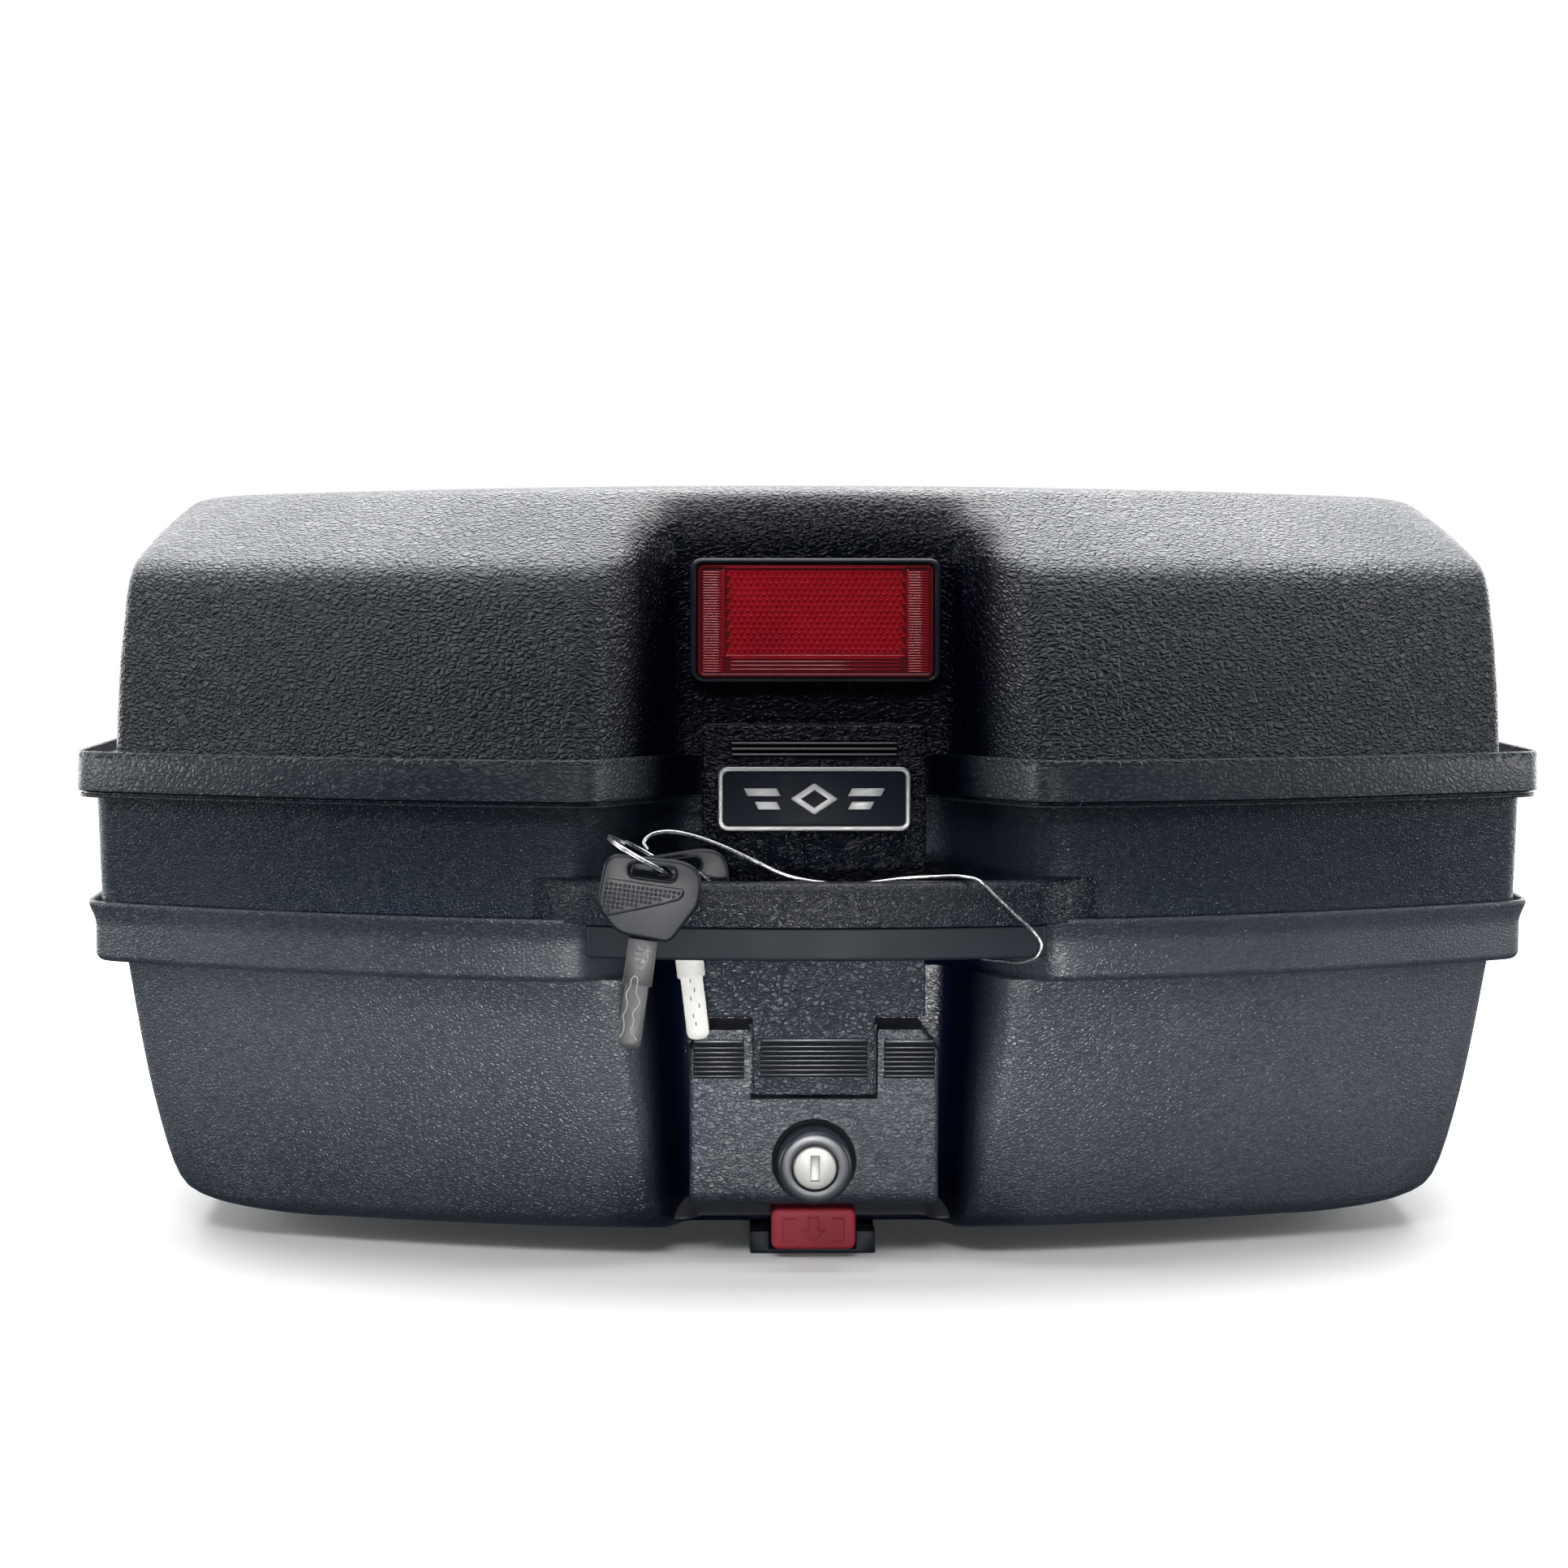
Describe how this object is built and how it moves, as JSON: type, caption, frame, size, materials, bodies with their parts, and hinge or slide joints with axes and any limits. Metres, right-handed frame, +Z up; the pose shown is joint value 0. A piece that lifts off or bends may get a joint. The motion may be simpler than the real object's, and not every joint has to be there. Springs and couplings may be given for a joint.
{
  "type": "motorcycle top case",
  "caption": "Hard motorcycle luggage case with a rear-hinged lid, extension ring, carry handle, latch strap with key lock, quick-release coupling and red reflector.",
  "frame": {"origin": "on the coupling plate's underside, at the middle of the case's width and depth", "axes": "+Z up, -Y the side with the lock and the reflector, +X along the width"},
  "size_m": [0.602, 0.4405, 0.297],
  "materials": {
    "grained_shell": "moulded leather grain, satin black",
    "ring_plastic": "fine shallow grain, satin black",
    "smooth_plastic": "smooth satin black",
    "key_plastic": "moulded satin black",
    "rubber": "matt black rubber",
    "steel": "bright plated steel",
    "dark_steel": "steel, seen dark",
    "badge_metal": "satin silver",
    "lens_red": "clear red prismatic acrylic",
    "button_red": "satin red",
    "mat": "black felt mat"
  },
  "bodies": {
    "case": {"base_shell": "grained_shell", "coupling_plate": "smooth_plastic", "coupling_screw_1": "steel", "coupling_screw_2": "steel", "coupling_screw_3": "steel", "coupling_screw_4": "steel", "floor_mat": "mat", "release_bracket": "smooth_plastic", "release_spring": "steel", "extension_ring": "ring_plastic", "ring_seal": "rubber", "handle_bar": "ring_plastic", "handle_band": "smooth_plastic", "lock_block": "grained_shell", "lock_bezel": "smooth_plastic", "catch_keeper": "steel", "catch_spring": "steel", "lock_screw_1": "steel", "lock_screw_2": "steel", "hinge_ring_leaf_left": "smooth_plastic", "hinge_ring_leaf_right": "smooth_plastic", "hinge_pin_left": "steel", "hinge_pin_right": "steel", "key_ring": "steel", "tie_wire": "steel", "bracket_screw_1": "steel", "bracket_screw_2": "steel"},
    "lid": {"lid_shell": "grained_shell", "lid_seal": "rubber", "reflector_housing": "smooth_plastic", "reflector_lens": "lens_red", "strap_bracket": "smooth_plastic", "strap_pin": "steel", "hinge_lid_leaf_left": "smooth_plastic", "hinge_lid_leaf_right": "smooth_plastic", "strap_screw_1": "steel", "strap_screw_2": "steel"},
    "strap": {"latch_strap": "grained_shell", "badge_frame": "badge_metal", "badge_plate": "smooth_plastic"},
    "plug": {"lock_plug": "steel", "lock_cam": "steel", "cam_nut": "steel"},
    "catch": {"latch_catch": "dark_steel"},
    "release": {"push_button": "button_red", "release_hook": "steel"},
    "key_a": {"key_a_head": "key_plastic", "key_a_blade": "dark_steel"},
    "key_b": {"key_b_head": "key_plastic", "key_b_blade": "steel"}
  },
  "joints": [
    {"name": "lid_hinge", "type": "hinge", "parent": "case", "child": "lid", "pos_m": [0, 0.212, 0.175], "axis": [-1, 0, 0], "range_deg": [0, 95]},
    {"name": "strap_pivot", "type": "hinge", "parent": "lid", "child": "strap", "pos_m": [0, -0.156, 0.199], "axis": [-1, 0, 0], "range_deg": [0, 7]},
    {"name": "plug_turn", "type": "hinge", "parent": "case", "child": "plug", "pos_m": [0, -0.16, 0.039], "axis": [0, 1, 0], "range_deg": [0, 90]},
    {"name": "catch_slide", "type": "slide", "parent": "case", "child": "catch", "axis": [0, 1, 0], "range_m": [0, 0.004], "deforming": ["catch_spring"]},
    {"name": "button_push", "type": "slide", "parent": "case", "child": "release", "axis": [0, 1, 0], "range_m": [0, 0.004], "stiffness_N_per_m": 400, "springref_m": -0.002, "deforming": ["release_spring"]},
    {"name": "key_a_swing", "type": "hinge", "parent": "case", "child": "key_a", "pos_m": [-0.0592, -0.2192, 0.1535], "axis": [-1, 0, 0], "range_deg": [0, 50]},
    {"name": "key_b_swing", "type": "hinge", "parent": "case", "child": "key_b", "pos_m": [-0.0505, -0.1975, 0.1535], "axis": [1, 0, 0], "range_deg": [0, 8]}
  ],
  "couplings": [
    {"joint": "catch_slide", "follows": "plug_turn", "m_per_rad": 0.002546}
  ]
}
